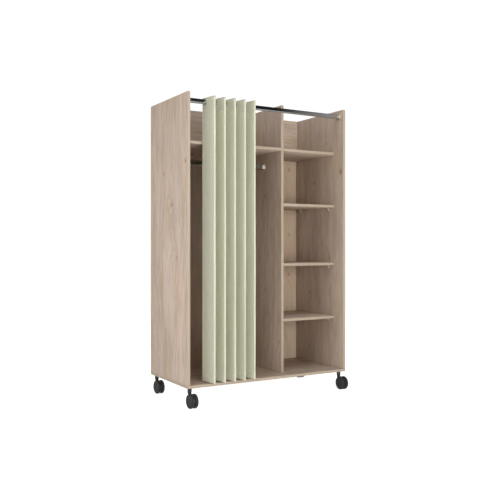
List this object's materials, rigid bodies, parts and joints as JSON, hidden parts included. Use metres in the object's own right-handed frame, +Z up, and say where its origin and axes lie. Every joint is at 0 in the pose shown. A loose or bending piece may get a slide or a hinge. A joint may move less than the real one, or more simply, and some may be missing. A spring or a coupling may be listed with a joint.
{
  "type": "curtain wardrobe",
  "caption": "Open oak-look wardrobe on twin-wheel castors, with a hanging space, a bay of shelves, and an eyelet curtain that slides on a front rod.",
  "frame": {"origin": "on the floor, under the middle of the space that the whole wardrobe takes up, castors and curtain included", "axes": "+Z up, -Y out of the open front, +X to the right as seen from the front"},
  "size_m": [0.997, 0.5206, 1.6],
  "materials": {
    "oak_board": "satin",
    "back_sheet": "matte",
    "support_plastic": "satin",
    "chrome": "polished",
    "eyelet_metal": "satin",
    "curtain_cloth": "matte",
    "steel": "satin",
    "castor_plastic": "satin"
  },
  "bodies": {
    "carcass": {"left_side_board": "oak_board", "right_side_board": "oak_board", "divider": "oak_board", "bottom_board": "oak_board", "left_top_shelf": "oak_board", "right_top_shelf": "oak_board", "left_back_rail": "oak_board", "right_back_rail": "oak_board", "lower_bay_shelf": "oak_board", "middle_bay_shelf": "oak_board", "upper_bay_shelf": "oak_board", "left_back_sheet": "back_sheet", "right_back_sheet": "back_sheet", "lower_shelf_support_left_front": "support_plastic", "lower_shelf_support_left_back": "support_plastic", "lower_shelf_support_right_front": "support_plastic", "lower_shelf_support_right_back": "support_plastic", "middle_shelf_support_left_front": "support_plastic", "middle_shelf_support_left_back": "support_plastic", "middle_shelf_support_right_front": "support_plastic", "middle_shelf_support_right_back": "support_plastic", "upper_shelf_support_left_front": "support_plastic", "upper_shelf_support_left_back": "support_plastic", "upper_shelf_support_right_front": "support_plastic", "upper_shelf_support_right_back": "support_plastic", "curtain_rod": "chrome", "left_rod_cup": "chrome", "right_rod_cup": "chrome", "hanging_rail": "chrome", "left_rail_bracket": "chrome", "right_rail_bracket": "chrome", "front_left_castor_stem": "steel", "front_right_castor_stem": "steel", "back_left_castor_stem": "steel", "back_right_castor_stem": "steel"},
    "curtain_end_eyelet": {"eyelet_01": "eyelet_metal", "curtain": "curtain_cloth"},
    "eyelet_02": {"eyelet_02": "eyelet_metal"},
    "eyelet_03": {"eyelet_03": "eyelet_metal"},
    "eyelet_04": {"eyelet_04": "eyelet_metal"},
    "eyelet_05": {"eyelet_05": "eyelet_metal"},
    "eyelet_06": {"eyelet_06": "eyelet_metal"},
    "eyelet_07": {"eyelet_07": "eyelet_metal"},
    "eyelet_08": {"eyelet_08": "eyelet_metal"},
    "eyelet_09": {"eyelet_09": "eyelet_metal"},
    "eyelet_10": {"eyelet_10": "eyelet_metal"},
    "front_left_castor": {"front_left_castor_fork": "castor_plastic"},
    "front_left_castor_left_wheel": {"front_left_castor_left_wheel": "castor_plastic"},
    "front_left_castor_right_wheel": {"front_left_castor_right_wheel": "castor_plastic"},
    "front_right_castor": {"front_right_castor_fork": "castor_plastic"},
    "front_right_castor_left_wheel": {"front_right_castor_left_wheel": "castor_plastic"},
    "front_right_castor_right_wheel": {"front_right_castor_right_wheel": "castor_plastic"},
    "back_left_castor": {"back_left_castor_fork": "castor_plastic"},
    "back_left_castor_left_wheel": {"back_left_castor_left_wheel": "castor_plastic"},
    "back_left_castor_right_wheel": {"back_left_castor_right_wheel": "castor_plastic"},
    "back_right_castor": {"back_right_castor_fork": "castor_plastic"},
    "back_right_castor_left_wheel": {"back_right_castor_left_wheel": "castor_plastic"},
    "back_right_castor_right_wheel": {"back_right_castor_right_wheel": "castor_plastic"}
  },
  "joints": [
    {"name": "curtain_slide", "type": "slide", "parent": "carcass", "child": "curtain_end_eyelet", "axis": [1, 0, 0], "range_m": [-0.07, 0.07]},
    {"name": "curtain_draw", "type": "slide", "parent": "curtain_end_eyelet", "child": "eyelet_02", "axis": [1, 0, 0], "range_m": [-0.01, 0.069], "deforming": ["curtain"]},
    {"name": "eyelet_03_slide", "type": "slide", "parent": "eyelet_02", "child": "eyelet_03", "axis": [1, 0, 0], "range_m": [-0.005, 0.0345]},
    {"name": "eyelet_04_slide", "type": "slide", "parent": "eyelet_03", "child": "eyelet_04", "axis": [1, 0, 0], "range_m": [-0.01, 0.069]},
    {"name": "eyelet_05_slide", "type": "slide", "parent": "eyelet_04", "child": "eyelet_05", "axis": [1, 0, 0], "range_m": [-0.005, 0.0345]},
    {"name": "eyelet_06_slide", "type": "slide", "parent": "eyelet_05", "child": "eyelet_06", "axis": [1, 0, 0], "range_m": [-0.01, 0.069]},
    {"name": "eyelet_07_slide", "type": "slide", "parent": "eyelet_06", "child": "eyelet_07", "axis": [1, 0, 0], "range_m": [-0.005, 0.0345]},
    {"name": "eyelet_08_slide", "type": "slide", "parent": "eyelet_07", "child": "eyelet_08", "axis": [1, 0, 0], "range_m": [-0.01, 0.069]},
    {"name": "eyelet_09_slide", "type": "slide", "parent": "eyelet_08", "child": "eyelet_09", "axis": [1, 0, 0], "range_m": [-0.005, 0.0345]},
    {"name": "eyelet_10_slide", "type": "slide", "parent": "eyelet_09", "child": "eyelet_10", "axis": [1, 0, 0], "range_m": [-0.01, 0.069]},
    {"name": "front_left_castor_swivel", "type": "hinge", "parent": "carcass", "child": "front_left_castor", "pos_m": [-0.4735, -0.19275, 0.09], "axis": [0, 0, 1], "continuous": true},
    {"name": "front_left_castor_left_wheel_spin", "type": "hinge", "parent": "front_left_castor", "child": "front_left_castor_left_wheel", "pos_m": [-0.4885, -0.22375, 0.0365], "axis": [1, 0, 0], "continuous": true},
    {"name": "front_left_castor_right_wheel_spin", "type": "hinge", "parent": "front_left_castor", "child": "front_left_castor_right_wheel", "pos_m": [-0.4585, -0.22375, 0.0365], "axis": [1, 0, 0], "continuous": true},
    {"name": "front_right_castor_swivel", "type": "hinge", "parent": "carcass", "child": "front_right_castor", "pos_m": [0.4735, -0.19275, 0.09], "axis": [0, 0, 1], "continuous": true},
    {"name": "front_right_castor_left_wheel_spin", "type": "hinge", "parent": "front_right_castor", "child": "front_right_castor_left_wheel", "pos_m": [0.4585, -0.22375, 0.0365], "axis": [1, 0, 0], "continuous": true},
    {"name": "front_right_castor_right_wheel_spin", "type": "hinge", "parent": "front_right_castor", "child": "front_right_castor_right_wheel", "pos_m": [0.4885, -0.22375, 0.0365], "axis": [1, 0, 0], "continuous": true},
    {"name": "back_left_castor_swivel", "type": "hinge", "parent": "carcass", "child": "back_left_castor", "pos_m": [-0.4735, 0.23025, 0.09], "axis": [0, 0, 1], "continuous": true},
    {"name": "back_left_castor_left_wheel_spin", "type": "hinge", "parent": "back_left_castor", "child": "back_left_castor_left_wheel", "pos_m": [-0.4885, 0.19925, 0.0365], "axis": [1, 0, 0], "continuous": true},
    {"name": "back_left_castor_right_wheel_spin", "type": "hinge", "parent": "back_left_castor", "child": "back_left_castor_right_wheel", "pos_m": [-0.4585, 0.19925, 0.0365], "axis": [1, 0, 0], "continuous": true},
    {"name": "back_right_castor_swivel", "type": "hinge", "parent": "carcass", "child": "back_right_castor", "pos_m": [0.4735, 0.23025, 0.09], "axis": [0, 0, 1], "continuous": true},
    {"name": "back_right_castor_left_wheel_spin", "type": "hinge", "parent": "back_right_castor", "child": "back_right_castor_left_wheel", "pos_m": [0.4585, 0.19925, 0.0365], "axis": [1, 0, 0], "continuous": true},
    {"name": "back_right_castor_right_wheel_spin", "type": "hinge", "parent": "back_right_castor", "child": "back_right_castor_right_wheel", "pos_m": [0.4885, 0.19925, 0.0365], "axis": [1, 0, 0], "continuous": true}
  ],
  "couplings": [
    {"joint": "eyelet_03_slide", "follows": "curtain_draw", "ratio": 0.5},
    {"joint": "eyelet_04_slide", "follows": "curtain_draw", "ratio": 1},
    {"joint": "eyelet_05_slide", "follows": "curtain_draw", "ratio": 0.5},
    {"joint": "eyelet_06_slide", "follows": "curtain_draw", "ratio": 1},
    {"joint": "eyelet_07_slide", "follows": "curtain_draw", "ratio": 0.5},
    {"joint": "eyelet_08_slide", "follows": "curtain_draw", "ratio": 1},
    {"joint": "eyelet_09_slide", "follows": "curtain_draw", "ratio": 0.5},
    {"joint": "eyelet_10_slide", "follows": "curtain_draw", "ratio": 1}
  ]
}
